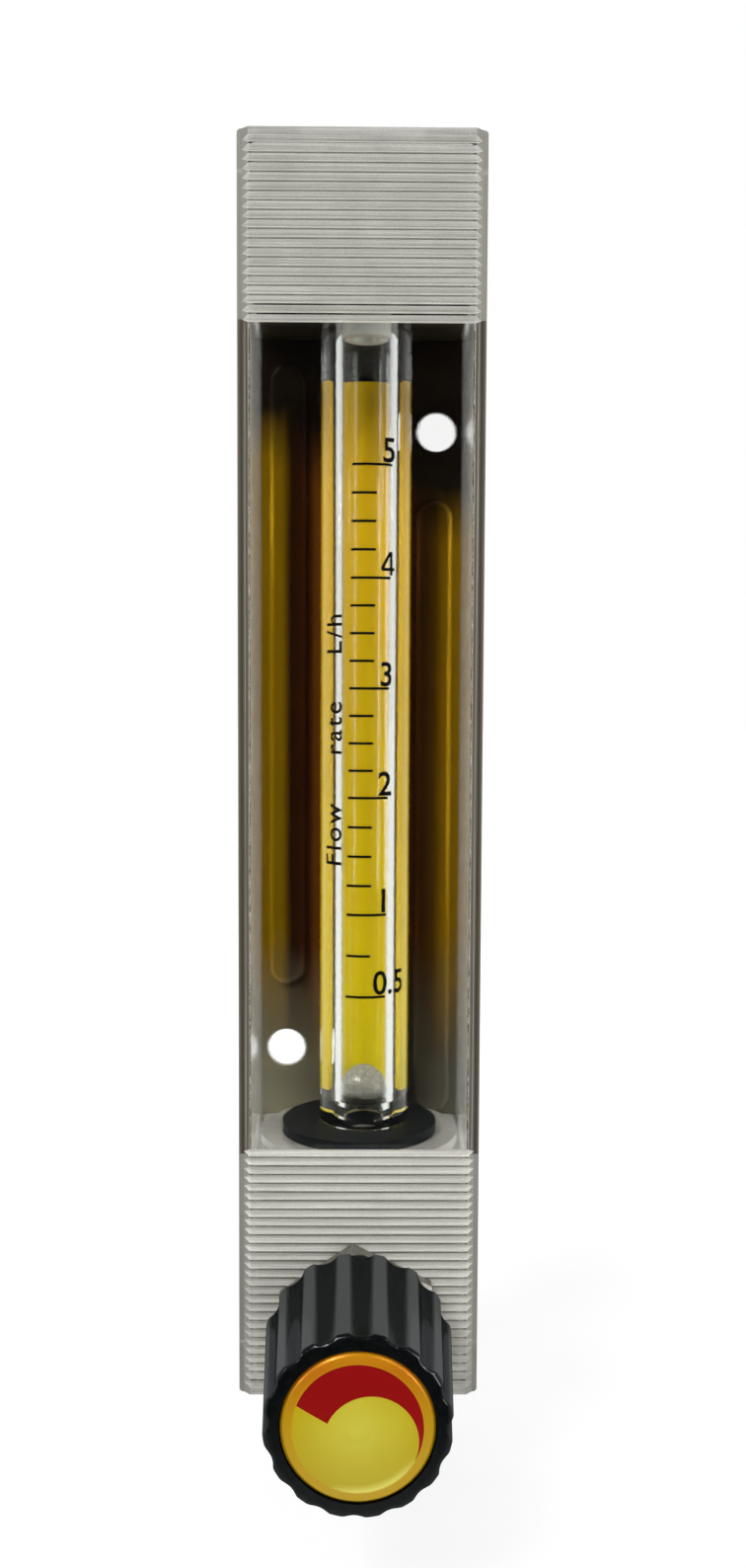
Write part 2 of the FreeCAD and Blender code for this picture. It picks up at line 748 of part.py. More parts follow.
def cover_nut():
    """The thin hexagon nut that holds the cover's foot on the bonnet."""
    body = valve_body("cover_nut")
    outline = new_sketch(body, "XY_Plane", s.cover_depth)
    add_outline(outline, hexagon_sizes(s.nut_flats, SIZES["nut_turn"]))
    add_circle(outline, s.bonnet_collar + s.thread_clearance)
    pad(body, outline, s.nut_thickness)
    reach = s.nut_flats / math.sqrt(3)
    crown = s.nut_flats / 2
    bevel = (reach - crown) / 2
    profile = new_sketch(body, "XZ_Plane")
    outer = reach + OVERRUN
    add_outline(profile, [
        (crown + bevel, NUT_FACE), (outer, NUT_FACE - (outer - crown - bevel) / 2), (outer, NUT_FACE),
    ])
    cut = body.newObject("PartDesign::Groove", "cover_nut_bevel")
    cut.Profile = profile
    cut.ReferenceAxis = (origin_feature(body, "Z_Axis"), [""])
    cut.Angle = 360
    doc.recompute()
    return body


def valve_seat():
    body = valve_body("valve_seat")
    mouth = s.seat_bore + s.seat_mouth
    turn(body, [
        (s.seat_bore, SEAT_STATION), (s.valve_seat_radius, SEAT_STATION), (s.valve_seat_radius, CHAMBER_BACK),
        (mouth, CHAMBER_BACK), (s.seat_bore, CHAMBER_BACK - s.seat_mouth),
    ])
    return body


def stem_ring_stations():
    """Where the two ring grooves in the stem begin, the rear one first."""
    rear = RING_SHOULDER + s.stem_ring_start
    return [rear, rear + s.stem_ring_pitch]


def valve_needle():
    """The stem: needle cone, thread, ring land with two grooves, and the shaft for the knob."""
    body = valve_body("valve_needle")
    seat_line = CHAMBER_BACK - s.seat_mouth
    contact = s.seat_bore - s.thread_clearance
    tip = seat_line - (contact - s.needle_tip) / s.needle_slope
    cone_end = seat_line + (s.needle_shank - contact) / s.needle_slope
    thread_back = BONNET_NOSE + s.thread_relief
    land_back = RING_SHOULDER + s.land_relief
    rear, front = stem_ring_stations()
    land_front = front + s.ring_section + s.land_end
    end = KNOB_BACK + NUT_FLOOR + s.collet_nut_thickness + s.shaft_proud
    turn(body, [
        (0, tip), (s.needle_tip, tip), (s.needle_shank, cone_end), (s.needle_shank, thread_back),
        (s.stem_thread_radius, thread_back), (s.stem_thread_radius, land_back), (s.land_radius, land_back),
        *grooved(s.land_radius, rear), *grooved(s.land_radius, front),
        (s.land_radius, land_front), (s.shaft_radius, land_front), (s.shaft_radius, end), (0, end),
    ])
    return body


def stem_seals():
    """The two rings that ride in the stem's grooves."""
    rings = []
    for index, station in enumerate(stem_ring_stations(), start=1):
        ring = valve_body(f"stem_seal_{index}")
        turn_ring(ring, RING_BORE, s.ring_section, station + s.ring_clearance)
        rings.append(ring)
    group = doc.addObject("Part::Compound", "stem_seals")
    group.Label = "stem_seals"
    group.Links = rings
    doc.recompute()
    return group


def knob_body(label):
    """A body that turns with the knob, whose heights are measured from the knob's rear face."""
    body = new_body(label, 0, KNOB_BACK, VALVE, turned=True)
    lean = FreeCAD.Rotation(V(0, 0, 1), -SIZES["knob_lean"])
    body.Placement = FreeCAD.Placement(body.Placement.Base, body.Placement.Rotation * lean)
    return body


def knob():
    """The knob: a tapered turning with flutes, bored for the collet, its nut and the cap."""
    body = knob_body("knob")
    cap_floor = s.knob_length - s.cap_sink
    rim = s.cap_radius + s.cap_clearance
    skirt = s.knob_rear_radius - s.skirt_wall
    collet_bore = s.collet_radius + s.thread_clearance
    ring_bore = s.cap_ring_radius + s.thread_clearance
    turned = turn(body, [
        (skirt, 0), (s.knob_rear_radius, 0), (s.knob_front_radius, s.knob_length), (rim, s.knob_length),
        (rim, cap_floor), (ring_bore, cap_floor), (ring_bore, NUT_FLOOR), (collet_bore, NUT_FLOOR),
        (collet_bore, NUT_FLOOR / 2), (collet_bore + s.collet_taper, s.skirt_depth), (skirt, s.skirt_depth),
    ])
    front, radius = s.knob_length.value, s.knob_front_radius.value
    round_edges(body, turned, s.knob_round, lambda edge: is_ring(edge, radius, 2, front))
    fluted = repeat_round(body, knob_flute(body), s.flute_count)
    middle = front / 2
    round_edges(body, fluted, s.flute_round, lambda edge: spans(edge, middle)
                and beyond(edge, SIZES["cap_radius"] + SIZES["cap_clearance"]))
    return body


def knob_flute(body):
    """One flute, cut by a round tool that leans inwards towards the knob's front."""
    rear_middle = s.knob_rear_radius - s.flute_rear_depth + s.flute_radius
    front_middle = s.knob_front_radius - s.flute_front_depth + s.flute_radius
    slope = (rear_middle - front_middle) / s.knob_length
    cosine = as_size(1.0) / root(slope * slope + 1.0)
    profile = new_sketch(body, "XY_Plane", as_size(-OVERRUN))
    lean = FreeCAD.Rotation(V(1, 0, 0), math.degrees(math.atan(slope.value)))
    profile.AttachmentOffset = FreeCAD.Placement(V(0, 0, -OVERRUN), lean)
    profile.setExpression("AttachmentOffset.Rotation.Angle", f"atan({slope.text})")
    add_circle(profile, s.flute_radius, 0, (rear_middle + slope * OVERRUN) * cosine)
    return pocket(body, profile, s.knob_length + OVERRUN * 3, along_normal=True)


def knob_cap():
    """The domed disc that snaps into the knob's front and hides the collet nut."""
    body = knob_body("knob_cap")
    back = s.knob_length - s.cap_sink
    edge_height = s.knob_length
    crown = edge_height + s.cap_rise
    ring_inner = s.cap_ring_radius - s.cap_ring_wall
    sketch = new_sketch(body, "XZ_Plane")
    corners = [
        (0, back), (ring_inner, back), (ring_inner, back - s.cap_ring_length),
        (s.cap_ring_radius, back - s.cap_ring_length), (s.cap_ring_radius, back), (s.cap_radius, back),
        (s.cap_radius, edge_height), (0, crown),
    ]
    places = [V(as_size(u).value, as_size(v).value, 0) for u, v in corners]
    reach = (s.cap_radius.value ** 2 + s.cap_rise.value ** 2) / (2 * s.cap_rise.value)
    dome = Part.Circle(V(0, crown.value - reach, 0), V(0, 0, 1), reach)
    lean = math.asin(s.cap_radius.value / reach)
    count = len(places)
    for i in range(count):
        if i == count - 2:
            sketch.addGeometry(Part.ArcOfCircle(dome, math.pi / 2 - lean, math.pi / 2))
        else:
            sketch.addGeometry(Part.LineSegment(places[i], places[(i + 1) % count]))
    for i in range(count):
        sketch.addConstraint(Sketcher.Constraint("Coincident", i, 2, (i + 1) % count, 1))
    for i, (u, v) in enumerate(corners):
        fix_point(sketch, i, 1, u, v)
    sketch.addConstraint(Sketcher.Constraint("PointOnObject", count - 2, 3, -2))
    feature = body.newObject("PartDesign::Revolution", "knob_cap_turning")
    feature.Profile = sketch
    feature.ReferenceAxis = (origin_feature(body, "Z_Axis"), [""])
    feature.Angle = 360
    doc.recompute()
    radius, height = s.cap_radius.value, edge_height.value
    round_edges(body, feature, s.cap_round, lambda edge: is_ring(edge, radius, 2, height), kind="Chamfer")
    return body


def knob_collet():
    """The slit brass collet that grips the stem when its nut draws it forwards."""
    body = knob_body("knob_collet")
    taper_end = NUT_FLOOR / 2
    thread_start = NUT_FLOOR - s.collet_undercut
    end = NUT_FLOOR + s.collet_nut_thickness + s.collet_proud
    turn(body, [
        (s.shaft_radius, COLLET_BACK), (s.collet_radius + s.collet_taper, COLLET_BACK),
        (s.collet_radius, taper_end), (s.collet_radius, thread_start), (COLLET_THREAD, thread_start),
        (COLLET_THREAD, end), (s.shaft_radius, end),
    ])
    slit = new_sketch(body, "XY_Plane", COLLET_BACK)
    add_rectangle(slit, 0, s.collet_radius * 2, -s.collet_slit / 2, s.collet_slit / 2)
    cut = pocket(body, slit, NUT_FLOOR - COLLET_BACK - s.collet_web, along_normal=True)
    repeat_round(body, cut, s.collet_slits)
    return body


def collet_nut():
    body = knob_body("collet_nut")
    outline = new_sketch(body, "XY_Plane", NUT_FLOOR)
    add_outline(outline, hexagon_sizes(s.collet_nut_flats))
    add_circle(outline, COLLET_THREAD + s.thread_clearance)
    pad(body, outline, s.collet_nut_thickness)
    return body


def block_screws():
    """Four countersunk screws from behind the plate, two in each block."""
    screws = []
    for index, (x, z) in enumerate(screw_places(), start=1):
        screw = new_body(f"block_screw_{index}", x, 0, z, turned=True)
        head = s.screw_head_radius - s.screw_radius
        turn(screw, [
            (0, 0), (s.screw_head_radius, 0), (s.screw_radius, head), (s.screw_radius, s.screw_length),
            (0, s.screw_length),
        ])
        key = new_sketch(screw, "XY_Plane")
        add_outline(key, hexagon_sizes(s.screw_key))
        pocket(screw, key, s.screw_key_depth, along_normal=True)
        screws.append(screw)
    group = doc.addObject("Part::Compound", "block_screws")
    group.Label = "block_screws"
    group.Links = screws
    doc.recompute()
    return group


def main():
    make_sheet()
    nodes = [
        front_cover(), back_plate(), upper_block(), lower_block(), glass_tube(), float_ball(), upper_stop(),
        lower_gasket(), top_plug(), top_plug_seal(), valve_bonnet(), bonnet_seal(), cover_nut(),
        valve_seat(), valve_needle(), stem_seals(), knob(), knob_cap(), knob_collet(), collet_nut(),
        block_screws(),
    ]
    doc.recompute()
    for obj in doc.Objects:
        if "Invalid" in obj.State or "Error" in obj.State:
            raise RuntimeError(f"{obj.Label} failed: {obj.State}")
    wrong = [node.Label for node in nodes if node.Shape.isNull() or not node.Shape.isValid()]
    if wrong:
        raise RuntimeError(f"no valid shape: {wrong}")
    os.makedirs("parts", exist_ok=True)
    for node in nodes:
        node.Shape.exportStep(f"parts/{node.Label}.step")
        print(f"{node.Label}: {len(node.Shape.Solids)} solid, {node.Shape.Volume:.1f} mm3")


main()
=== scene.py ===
import math

import bmesh
import bpy
from mathutils import Matrix, Vector

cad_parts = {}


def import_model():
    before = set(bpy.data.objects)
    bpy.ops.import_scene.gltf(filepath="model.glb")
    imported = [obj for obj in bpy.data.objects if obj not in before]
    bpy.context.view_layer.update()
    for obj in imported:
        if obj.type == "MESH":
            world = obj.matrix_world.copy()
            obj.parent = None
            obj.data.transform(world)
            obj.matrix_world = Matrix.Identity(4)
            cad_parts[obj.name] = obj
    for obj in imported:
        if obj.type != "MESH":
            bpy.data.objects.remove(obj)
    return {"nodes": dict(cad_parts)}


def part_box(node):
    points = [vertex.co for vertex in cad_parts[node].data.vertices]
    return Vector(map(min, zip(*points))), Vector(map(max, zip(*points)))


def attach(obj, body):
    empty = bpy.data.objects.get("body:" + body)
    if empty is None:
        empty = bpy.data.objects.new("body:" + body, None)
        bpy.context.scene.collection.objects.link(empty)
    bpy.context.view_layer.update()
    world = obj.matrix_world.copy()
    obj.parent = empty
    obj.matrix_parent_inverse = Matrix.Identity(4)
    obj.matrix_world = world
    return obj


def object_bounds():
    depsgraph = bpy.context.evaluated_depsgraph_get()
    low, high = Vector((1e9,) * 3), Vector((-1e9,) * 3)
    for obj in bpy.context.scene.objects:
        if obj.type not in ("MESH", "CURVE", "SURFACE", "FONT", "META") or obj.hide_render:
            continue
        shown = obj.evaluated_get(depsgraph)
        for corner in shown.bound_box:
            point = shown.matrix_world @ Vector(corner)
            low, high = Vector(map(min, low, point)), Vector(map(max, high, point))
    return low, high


# Looks of a panel-mounted flow meter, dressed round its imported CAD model.
# Objects stand in metres in the CAD frame: +Z is up and the reader stands at -Y.
# Materials and the printed scale are drawn in millimetres in the same frame.

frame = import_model()
cad_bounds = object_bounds()

MM = 0.001
WHITE = (1.0, 1.0, 1.0, 1.0)


class Graph:
    """The node tree of a material or a world, with short calls for the nodes that they share."""

    def __init__(self, owner):
        owner.use_nodes = True
        self.owner = owner
        self.tree = owner.node_tree
        self.tree.nodes.clear()

    def add(self, kind, inputs=None, **settings):
        node = self.tree.nodes.new(kind)
        for key, value in settings.items():
            setattr(node, key, value)
        for key, value in (inputs or {}).items():
            if isinstance(value, bpy.types.NodeSocket):
                self.tree.links.new(value, node.inputs[key])
            else:
                node.inputs[key].default_value = value
        return node

    def math(self, operation, a, b=0.0, c=0.0):
        return self.add("ShaderNodeMath", {0: a, 1: b, 2: c}, operation=operation).outputs[0]

    def over(self, value, limit):
        """1 where the value is over the limit, and 0 elsewhere."""
        return self.math("GREATER_THAN", value, limit)

    def under(self, value, limit):
        return self.math("LESS_THAN", value, limit)

    def product(self, first, *others):
        """The product of masks or levels: it is 1 only where all of them are."""
        for other in others:
            first = self.math("MULTIPLY", first, other)
        return first

    def largest(self, first, *others):
        for other in others:
            first = self.math("MAXIMUM", first, other)
        return first

    def invert(self, value):
        return self.math("SUBTRACT", 1.0, value)

    def distance(self, u, v):
        """The distance from an axis, from the two offsets square to it."""
        squares = self.math("ADD", self.math("MULTIPLY", u, u), self.math("MULTIPLY", v, v))
        return self.math("SQRT", squares)

    def place(self):
        """The point's place in the piece's own frame, which is the CAD frame at rest, in millimetres."""
        own = self.add("ShaderNodeTexCoord").outputs["Object"]
        return self.stretch(own, (1000, 1000, 1000))

    def facing(self, kind="Normal"):
        """The surface's direction, split in X, Y and Z."""
        return self.split(self.add("ShaderNodeNewGeometry").outputs[kind])

    def split(self, vector):
        return self.add("ShaderNodeSeparateXYZ", {0: vector}).outputs

    def stretch(self, vector, factors):
        return self.add("ShaderNodeVectorMath", {0: vector, 1: factors}, operation="MULTIPLY").outputs[0]

    def noise(self, vector, scale, detail=3.0, roughness=0.5):
        inputs = {"Vector": vector, "Scale": scale, "Detail": detail, "Roughness": roughness}
        return self.add("ShaderNodeTexNoise", inputs).outputs["Fac"]

    def ramp(self, factor, stops):
        node = self.add("ShaderNodeValToRGB", {"Fac": factor})
        elements = node.color_ramp.elements
        while len(elements) < len(stops):
            elements.new(0.5)
        for element, (position, colour) in zip(elements, stops):
            element.position = position
            element.color = (*colour, 1.0)
        return node.outputs["Color"]

    def level(self, factor, low, high, out_low=0.0, out_high=1.0):
        """Maps a number from one range to another, and stops at its ends."""
        inputs = {"Value": factor, "From Min": low, "From Max": high, "To Min": out_low, "To Max": out_high}
        return self.add("ShaderNodeMapRange", inputs).outputs["Result"]

    def blend(self, factor, a, b):
        node = self.add("ShaderNodeMix", data_type="RGBA")
        for key, value in ((0, factor), (6, a), (7, b)):
            if isinstance(value, bpy.types.NodeSocket):
                self.tree.links.new(value, node.inputs[key])
            else:
                node.inputs[key].default_value = value if key == 0 else (*value, 1.0)
        return node.outputs[2]

    def bump(self, height, strength):
        inputs = {"Height": height, "Strength": strength, "Distance": BUMP_DEPTH}
        return self.add("ShaderNodeBump", inputs).outputs["Normal"]

    def surface(self, **inputs):
        names = {key.replace("_", " "): value for key, value in inputs.items()}
        return self.add("ShaderNodeBsdfPrincipled", names).outputs["BSDF"]

    def mix(self, factor, a, b):
        return self.add("ShaderNodeMixShader", {0: factor, 1: a, 2: b}).outputs[0]

    def let_lamps_through(self, glass, tint):
        """Rays from the lamps pass this glass straight, so that what is behind it is lit."""
        clear = self.add("ShaderNodeBsdfTransparent", {"Color": tint}).outputs[0]
        return self.mix(self.add("ShaderNodeLightPath").outputs["Is Shadow Ray"], glass, clear)

    def seen_ray(self):
        """1 for a ray that shows the background: to the camera, in a reflection or through glass."""
        path = self.add("ShaderNodeLightPath").outputs
        return self.largest(path["Is Camera Ray"], path["Is Glossy Ray"], path["Is Transmission Ray"])

    def finish(self, shader):
        self.add("ShaderNodeOutputMaterial", {"Surface": shader})
        return self.owner


def material_graph(name):
    return Graph(bpy.data.materials.new(name))


def middle(node):
    low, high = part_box(node)
    return (Vector(low) + Vector(high)) / 2


def half_size(node):
    low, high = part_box(node)
    return (Vector(high) - Vector(low)) / 2


BUMP_DEPTH = 0.1 * MM

TUBE = middle("glass_tube")
TUBE_RADIUS = half_size("glass_tube").x
BALL = middle("float_ball")
CAP = middle("knob_cap")
COVER_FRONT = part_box("front_cover")[0].y
COVER_SIDE = half_size("front_cover").x
COVER_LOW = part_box("front_cover")[0].z
COVER_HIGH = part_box("front_cover")[1].z
WINDOW_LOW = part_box("lower_block")[1].z
WINDOW_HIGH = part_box("upper_block")[0].z

# The cover: widths of its cloudy margins, how deep they go, how far the ribs reach under the upper block, and
# the upward share of the direction in which a rib's flank faces.
EDGE_BAND = 1.45
END_BAND = 1.3
FRONT_SKIN = 1.2
WALL_SKIN = 0.5
RIBS_UNDER_BLOCK = 2.5
FLANK_SLANT = (0.3, 0.95)
MARGIN = (0.3, 0.295, 0.26)
WALL_FROST = (0.5, 0.47, 0.38)


def clear_cover():
    """Clear plastic, polished over the window, with frosted flanks in its ribs, painted shade on the lands between
    them, and drawn marks and painted bands of light and shade down its sides.
    """
    g = material_graph("clear_cover")
    place = g.place()
    x, y, z = g.split(place)
    normal = g.facing("True Normal")
    off_centre = g.math("ABSOLUTE", x)

    # Masks for the faces that differ.
    slant = g.math("ABSOLUTE", normal[2])
    flank = g.product(g.over(slant, FLANK_SLANT[0]), g.under(slant, FLANK_SLANT[1]))
    front = g.under(y, COVER_FRONT / MM + FRONT_SKIN)
    side = g.over(off_centre, COVER_SIDE / MM - EDGE_BAND)
    end = g.largest(g.over(z, COVER_HIGH / MM - END_BAND), g.under(z, COVER_LOW / MM + END_BAND))
    ribbed = g.largest(g.over(z, WINDOW_HIGH / MM - RIBS_UNDER_BLOCK), g.under(z, WINDOW_LOW / MM))
    wall = g.product(g.over(g.math("ABSOLUTE", normal[0]), 0.9), g.under(off_centre, COVER_SIDE / MM - WALL_SKIN))
    wall_near = g.product(wall, g.level(y, COVER_FRONT / MM + 2.0, COVER_FRONT / MM + 13.0, 1.0, 0.08))

    # How cloudy each of them is.
    drawn = g.noise(g.stretch(place, (7.0, 3.0, 0.03)), 1.4, 3.0, 0.6)
    brushed = g.noise(g.stretch(place, (0.04, 1.0, 6.0)), 1.2, 3.0, 0.6)
    worn = g.level(g.noise(place, 0.13, 3.0, 0.6), 0.4, 0.62, 1.0, 0.9)
    frost = g.product(flank, front, g.product(worn, g.level(brushed, 0.35, 0.65, 0.76, 0.94)))
    side_haze = g.product(front, side, g.level(drawn, 0.38, 0.62, 0.8, 0.95))
    end_haze = g.product(front, end, g.level(brushed, 0.35, 0.65, 0.5, 0.7))
    wall_haze = g.product(wall_near, g.level(drawn, 0.4, 0.6, 0.3, 0.65))
    cloudy = g.largest(frost, side_haze, end_haze, wall_haze)

    # The clear plastic, rubbed a little, with painted shade on the lands between the ribs.
    rubbing_and_painted_sheen = g.level(g.noise(g.stretch(place, (1.0, 1.0, 0.15)), 2.2, 4.0), 0.5, 0.8, 0.004, 0.03)
    marks = g.noise(g.stretch(place, (4.0, 4.0, 0.4)), 3.0, 2.0)
    land = g.product(front, ribbed, g.invert(g.largest(side, end)))
    body = g.blend(land, (0.97, 0.975, 0.965), (0.4, 0.39, 0.36))
    glass = g.surface(Base_Color=body, Roughness=rubbing_and_painted_sheen, IOR=1.49, Transmission_Weight=1.0,
                      Normal=g.bump(marks, 0.03))

    # The cloudy parts: pale on the ribs, with painted light on the flanks that face down and on the lower ribs, and
    # painted light and shade in upright bands down the sides of the window.
    underside = g.product(g.under(normal[2], -0.3), 0.3)
    lower = g.level(z, WINDOW_LOW / MM, WINDOW_HIGH / MM, 0.15, 0.0)
    speckle = g.level(g.noise(place, 5.0, 2.0), 0.3, 0.7, -0.12, 0.12)
    tone = g.math("MULTIPLY_ADD", brushed, 0.6, g.math("ADD", g.math("ADD", underside, lower), speckle))
    pale = g.ramp(tone, [(0.2, (0.54, 0.53, 0.48)), (0.5, (0.7, 0.69, 0.64)), (0.8, (0.86, 0.86, 0.83))])
    inwards = g.math("MULTIPLY_ADD", drawn, 0.3, g.math("SUBTRACT", COVER_SIDE / MM - 0.15, off_centre))
    # Painted light and shade: upright dark and light bands across each side margin.
    painted_bands = g.ramp(g.level(inwards, 0.0, EDGE_BAND), [
        (0.0, (0.3, 0.28, 0.23)), (0.14, (0.12, 0.1, 0.07)), (0.4, (0.035, 0.027, 0.015)),
        (0.58, (0.07, 0.06, 0.04)), (0.64, (0.34, 0.32, 0.25)), (0.7, (0.06, 0.05, 0.03)),
        (0.88, (0.09, 0.075, 0.05)), (1.0, (0.36, 0.34, 0.28))])
    margin = g.blend(ribbed, painted_bands, MARGIN)
    frost_and_painted_light = g.blend(g.product(side, g.invert(flank)), g.blend(wall, pale, WALL_FROST), margin)
    powder = g.surface(Base_Color=frost_and_painted_light, Roughness=0.5)

    passed = g.ramp(cloudy, [(0.0, (0.98, 0.98, 0.98)), (1.0, (0.6, 0.6, 0.6))])
    return g.finish(g.let_lamps_through(g.mix(cloudy, glass, powder), passed))


# The enamel on the tube's rear: its ends at the tube's back, how they lean towards the front, and its side edges.
ENAMEL_TOP = 47.5
ENAMEL_BOTTOM = -46.1
TOP_SLOPE = 0.2
BOTTOM_SLOPE = 0.28
ENAMEL_EDGE = 2.1
ENAMEL_SKIN = 0.05


def tube_glass():
    """Clear glass, with the yellow enamel that is fired on the rear of the tube's outside."""
    g = material_graph("tube_glass")
    place = g.place()
    x, y, z = g.split(place)
    across = g.math("SUBTRACT", x, TUBE.x / MM)
    back = g.math("SUBTRACT", y, TUBE.y / MM)
    outside = g.over(g.distance(across, back), TUBE_RADIUS / MM - ENAMEL_SKIN)
    rise = g.math("SUBTRACT", TUBE_RADIUS / MM, back)
    above = g.over(z, g.math("MULTIPLY_ADD", rise, BOTTOM_SLOPE, ENAMEL_BOTTOM))
    below = g.under(z, g.math("MULTIPLY_ADD", rise, -TOP_SLOPE, ENAMEL_TOP))
    enamelled = g.product(outside, g.over(back, ENAMEL_EDGE), above, below)
    cloud = g.noise(g.stretch(place, (1.0, 1.0, 0.12)), 0.5, 3.0)
    # The enamel's colour: a mottle, and painted light that makes it more orange at the top and paler towards the
    # bottom.
    mottle_and_painted_light = g.math("MULTIPLY_ADD", cloud, 0.3, g.level(z, ENAMEL_TOP, ENAMEL_BOTTOM, 0.0, 0.85))
    yellow = g.ramp(mottle_and_painted_light, [(0.1, (0.76, 0.48, 0.0005)), (0.5, (0.69, 0.47, 0.001)), (1.0, (0.82, 0.66, 0.0015))])
    enamel = g.surface(Base_Color=yellow, Roughness=0.5, Specular_IOR_Level=0.1)
    glass = g.surface(Base_Color=(0.96, 0.98, 0.965, 1), Roughness=0.0, IOR=1.5, Transmission_Weight=1.0)
    clear = g.let_lamps_through(glass, (0.98, 0.98, 0.98, 1))
    return g.finish(g.mix(enamelled, clear, enamel))


def float_glass():
    """The ball: clouded grey glass of uneven tone with small painted highlights, and painted shade over its lower
    part, where it sits in the tube's foot.
    """
    g = material_graph("float_glass")
    place = g.place()
    seeds = g.noise(place, 1.6, 4.0, 0.6)
    height = g.math("MULTIPLY_ADD", seeds, 0.4, g.math("SUBTRACT", g.split(place)[2], BALL.z / MM))
    colour = g.ramp(seeds, [(0.35, (0.34, 0.33, 0.28)), (0.65, (0.52, 0.5, 0.44))])
    # Painted highlights: small light spots from a noise.
    tone_and_painted_glints = g.blend(g.level(g.noise(place, 2.6, 2.0), 0.64, 0.72), colour, (0.9, 0.89, 0.84))
    # Painted shade: the ball is dark below about its middle.
    body = g.blend(g.level(height, -0.9, 0.3), (0.05, 0.05, 0.045), tone_and_painted_glints)
    glass = g.surface(Base_Color=body, Roughness=0.04, IOR=1.52, Transmission_Weight=0.45, Coat_Weight=0.6,
                      Coat_Roughness=0.02)
    return g.finish(g.let_lamps_through(glass, (0.55, 0.55, 0.53, 1)))


# The plate's painted reflections: the golden one of the yellow enamel and a dark one, and the heights between which
# they turn dark or give way to the lower part's painted tone.
PAINTED_GOLD_REFLECTION = (0.34, 0.19, 0.001)
PAINTED_DARK_REFLECTION = (0.013, 0.008, 0.004)
REFLECTION_TOP = (27.0, 35.0)
REFLECTION_BOTTOM = (-17.0, -36.0)


def polished_plate():
    """Bright stainless sheet, rolled upright, with painted reflections inside the cover: golden brown stripes of the
    yellow enamel, darker ones, and a lower part painted lighter at the left.
    """
    g = material_graph("polished_plate")
    place = g.place()
    x, y, z = g.split(place)
    streaks = g.noise(g.stretch(place, (3.0, 3.0, 0.05)), 2.0, 4.0, 0.6)
    cloud = g.noise(g.stretch(place, (0.6, 1.0, 0.08)), 0.45, 3.0, 0.55)
    across = g.level(g.math("MULTIPLY_ADD", streaks, 1.4, g.math("ADD", x, -0.7)), -14.0, 14.0)
    # Painted reflections across the plate: golden stripes, the mirrored yellow enamel, towards the sides, and darker
    # brown ones between them.
    reflection_stripes = g.ramp(across, [
        (0.0, PAINTED_GOLD_REFLECTION), (0.12, PAINTED_GOLD_REFLECTION), (0.16, (0.035, 0.012, 0.002)), (0.25, (0.07, 0.02, 0.002)),
        (0.28, (0.2, 0.07, 0.006)), (0.73, (0.12, 0.035, 0.003)), (0.8, (0.05, 0.02, 0.003)),
        (0.86, (0.1, 0.045, 0.002)), (0.9, (0.27, 0.145, 0.001)), (1.0, (0.3, 0.17, 0.001))])
    # The lower part's tone is a painted reflection too: lighter at the left and darker at the right.
    metal_tone = g.ramp(across, [(0.0, (0.3, 0.28, 0.2)), (0.25, (0.26, 0.24, 0.16)), (0.75, (0.07, 0.065, 0.045)),
                           (1.0, (0.13, 0.12, 0.09))])
    lean = g.level(x, -10.0, 10.0, -14.0, -3.0)
    upper = g.math("MULTIPLY_ADD", cloud, 7.0, g.math("ADD", z, lean))
    # Higher up the painted reflection turns dark, and lower down it gives way to the lower part's painted tone.
    dark = g.blend(g.level(upper, *REFLECTION_TOP), reflection_stripes, PAINTED_DARK_REFLECTION)
    height = g.math("MULTIPLY_ADD", cloud, 20.0, z)
    painted_reflections = g.blend(g.level(height, *REFLECTION_BOTTOM), dark, metal_tone)
    rear = g.over(g.facing()[1], 0.5)
    steel = g.ramp(streaks, [(0.3, (0.46, 0.46, 0.45)), (0.7, (0.56, 0.56, 0.55))])
    metal = g.surface(Base_Color=g.blend(rear, painted_reflections, steel), Metallic=g.level(rear, 0.0, 1.0, 0.6, 1.0),
                      Roughness=g.level(streaks, 0.3, 0.7, 0.1, 0.22), Specular_IOR_Level=0.1,
                      Normal=g.bump(streaks, 0.08))
    return g.finish(metal)


def block_metal():
    """Satin light metal with fine turning, a little tarnish, and painted shade on the faces that look down."""
    g = material_graph("block_metal")
    place = g.place()
    grain = g.noise(g.stretch(place, (0.3, 6.0, 6.0)), 3.0, 4.0, 0.6)
    tarnish = g.noise(place, 0.25, 4.0, 0.6)
    metal_tone = g.ramp(tarnish, [(0.3, (0.5, 0.49, 0.45)), (0.7, (0.66, 0.65, 0.61))])
    # Painted shade: faces that look down are made dark brown.
    underside = g.under(g.facing("True Normal")[2], -0.5)
    colour = g.blend(underside, metal_tone, (0.07, 0.05, 0.025))
    rough = g.level(grain, 0.3, 0.7, 0.26, 0.42)
    return g.finish(g.surface(Base_Color=colour, Metallic=0.6, Roughness=rough, Normal=g.bump(grain, 0.12)))


def turned_metal(name, dark, light, roughness):
    """Turned or milled metal, with small differences of colour and gloss."""
    g = material_graph(name)
    grain = g.noise(g.stretch(g.place(), (5.0, 1.0, 5.0)), 2.0, 3.0, 0.6)
    colour = g.ramp(grain, [(0.3, dark), (0.7, light)])
    rough = g.level(grain, 0.3, 0.7, roughness - 0.06, roughness + 0.08)
    return g.finish(g.surface(Base_Color=colour, Metallic=1.0, Roughness=rough, Normal=g.bump(grain, 0.1)))


def dull(name, dark, light, roughness, scale, relief=0.15, specular=0.4):
    """Rubber, plastic or ink with a fine grain."""
    g = material_graph(name)
    grain = g.noise(g.place(), scale, 4.0, 0.6)
    colour = g.ramp(grain, [(0.35, dark), (0.7, light)])
    rough = g.level(grain, 0.3, 0.7, roughness - 0.05, roughness + 0.08)
    return g.finish(g.surface(Base_Color=colour, Roughness=rough, Specular_IOR_Level=specular,
                              Normal=g.bump(grain, relief)))


